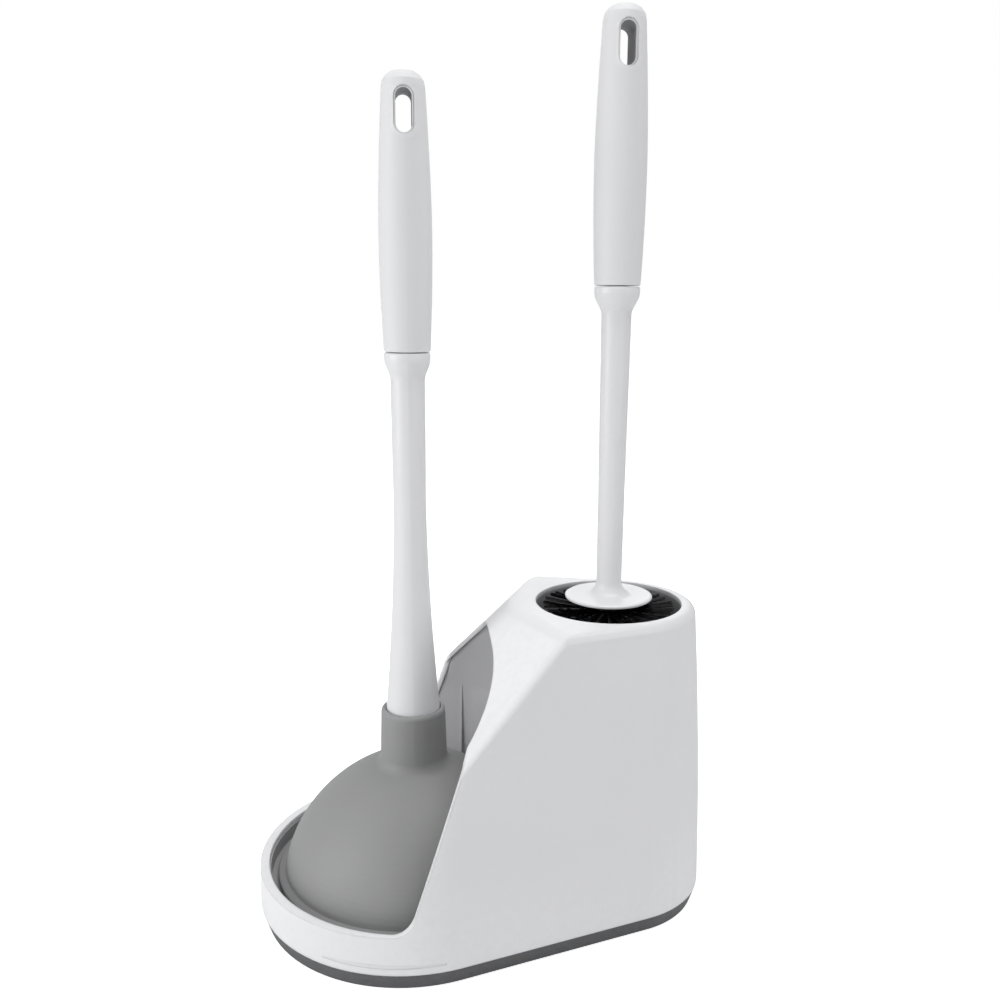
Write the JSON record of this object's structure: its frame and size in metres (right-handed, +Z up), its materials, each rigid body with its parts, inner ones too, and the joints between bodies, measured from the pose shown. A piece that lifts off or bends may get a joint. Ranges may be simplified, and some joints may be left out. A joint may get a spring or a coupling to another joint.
{
  "type": "toilet plunger and brush set",
  "caption": "Rubber cup plunger and toilet brush with long white handles, standing in a shared low-fronted caddy with a grey base.",
  "frame": {"origin": "middle of the caddy's footprint, on the floor under the foot pads", "axes": "+Z up; the plunger stands toward -Y and the brush toward +Y; +X is the side that the picture shows, and the part is symmetric across the YZ plane"},
  "size_m": [0.1746, 0.257, 0.4875],
  "materials": {
    "white_shell": "white moulded polypropylene, satin",
    "white_handle": "white moulded polypropylene, satin",
    "white_grip": "white soft-touch moulding, fine matte",
    "slot_grey": "grey soft-touch lining",
    "base_grey": "dark grey moulded plastic, satin",
    "lining_grey": "mid grey moulded plastic, satin",
    "cup_rubber": "mid grey rubber, matte",
    "foot_rubber": "black rubber, matte",
    "bristle_black": "black nylon bristle"
  },
  "bodies": {
    "caddy": {"caddy_shell": "white_shell", "base_plate": "base_grey", "drip_tray": "lining_grey", "bay_lining": "lining_grey", "brush_well": "lining_grey", "foot_pad_front_left": "foot_rubber", "foot_pad_front_right": "foot_rubber", "foot_pad_rear_left": "foot_rubber", "foot_pad_rear_right": "foot_rubber"},
    "plunger": {"plunger_cup": "cup_rubber", "plunger_shaft": "white_handle", "plunger_grip": "white_grip", "plunger_slot_lining": "slot_grey"},
    "brush": {"brush_rod": "white_handle", "brush_grip": "white_grip", "brush_slot_lining": "slot_grey", "brush_core": "bristle_black", "bristle_ring_1": "bristle_black", "bristle_ring_2": "bristle_black", "bristle_ring_3": "bristle_black", "bristle_ring_4": "bristle_black", "bristle_ring_5": "bristle_black", "bristle_ring_6": "bristle_black"}
  },
  "joints": [
    {"name": "plunger_lift", "type": "slide", "parent": "caddy", "child": "plunger", "axis": [0, -0.2672, 0.9636], "range_m": [0, 0.22]},
    {"name": "brush_lift", "type": "slide", "parent": "caddy", "child": "brush", "axis": [0, 0, 1], "range_m": [0, 0.18]}
  ]
}
